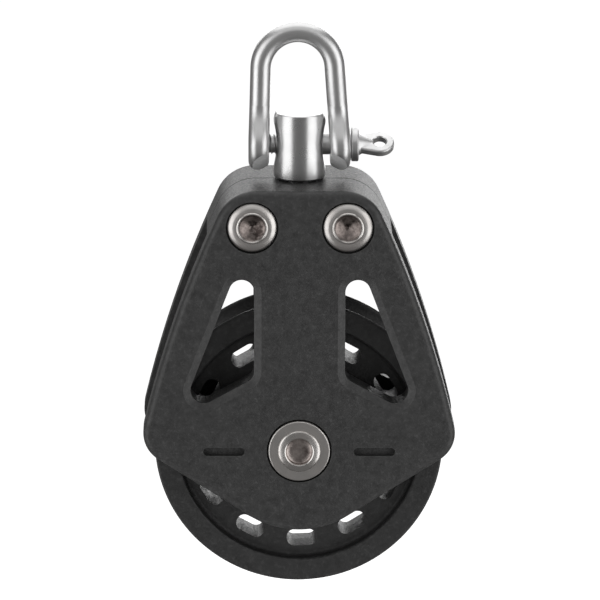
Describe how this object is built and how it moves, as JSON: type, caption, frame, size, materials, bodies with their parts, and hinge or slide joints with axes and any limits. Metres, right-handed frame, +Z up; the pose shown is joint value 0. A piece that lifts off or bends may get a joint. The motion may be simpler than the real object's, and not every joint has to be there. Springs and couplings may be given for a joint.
{
  "type": "single sheave block",
  "caption": "Single swivel block with a ball-bearing sheave between two moulded half shells, a stainless swivel post and a screw-pin shackle.",
  "frame": {"origin": "centre of the sheave, on the axle", "axes": "+Z up towards the shackle, +Y along the axle from the front shell to the rear shell, +X to the right towards the tab of the shackle pin"},
  "size_m": [0.0646, 0.0294, 0.1179],
  "materials": {
    "shell_nylon": "moulded glass-filled nylon, fine satin grain",
    "sheave_nylon": "moulded nylon, satin",
    "bearing_acetal": "machined acetal",
    "ball_acetal": "ground white acetal",
    "rivet_steel": "rolled stainless, satin with bright edges",
    "washer_steel": "turned stainless, satin",
    "post_steel": "turned and polished stainless",
    "shackle_steel": "forged and polished stainless, cast grain on the ends of the eyes",
    "pin_steel": "forged stainless, tumbled"
  },
  "bodies": {
    "shackle": {"shackle": "shackle_steel"},
    "screw_pin": {"shackle_pin": "pin_steel"},
    "swivel": {"swivel_post": "post_steel", "swivel_washer": "rivet_steel", "swivel_nut": "rivet_steel"},
    "housing": {"front_shell": "shell_nylon", "rear_shell": "shell_nylon", "swivel_bush": "bearing_acetal", "inner_race": "bearing_acetal", "axle": "rivet_steel", "front_axle_washer": "washer_steel", "rear_axle_washer": "washer_steel", "left_head_rivet": "rivet_steel", "right_head_rivet": "rivet_steel", "front_left_rivet_washer": "washer_steel", "front_right_rivet_washer": "washer_steel", "rear_left_rivet_washer": "washer_steel", "rear_right_rivet_washer": "washer_steel"},
    "sheave": {"sheave": "sheave_nylon", "front_ball_retainer": "bearing_acetal", "rear_ball_retainer": "bearing_acetal"},
    "balls": {"front_ball_row": "ball_acetal", "rear_ball_row": "ball_acetal"}
  },
  "joints": [
    {"name": "pin_withdraw", "type": "slide", "parent": "shackle", "child": "screw_pin", "axis": [1, 0, 0], "range_m": [0, 0.0215]},
    {"name": "block_swing", "type": "hinge", "parent": "shackle", "child": "swivel", "pos_m": [0, 0, 0.0621], "axis": [1, 0, 0], "range_deg": [-105, 105]},
    {"name": "swivel_turn", "type": "hinge", "parent": "swivel", "child": "housing", "pos_m": [0, 0, 0.0549], "axis": [0, 0, 1], "continuous": true},
    {"name": "sheave_spin", "type": "hinge", "parent": "housing", "child": "sheave", "pos_m": [0, 0, 0], "axis": [0, 1, 0], "continuous": true},
    {"name": "ball_orbit", "type": "hinge", "parent": "housing", "child": "balls", "pos_m": [0, 0, 0], "axis": [0, 1, 0], "continuous": true}
  ],
  "couplings": [
    {"joint": "ball_orbit", "follows": "sheave_spin", "ratio": 0.6283}
  ]
}
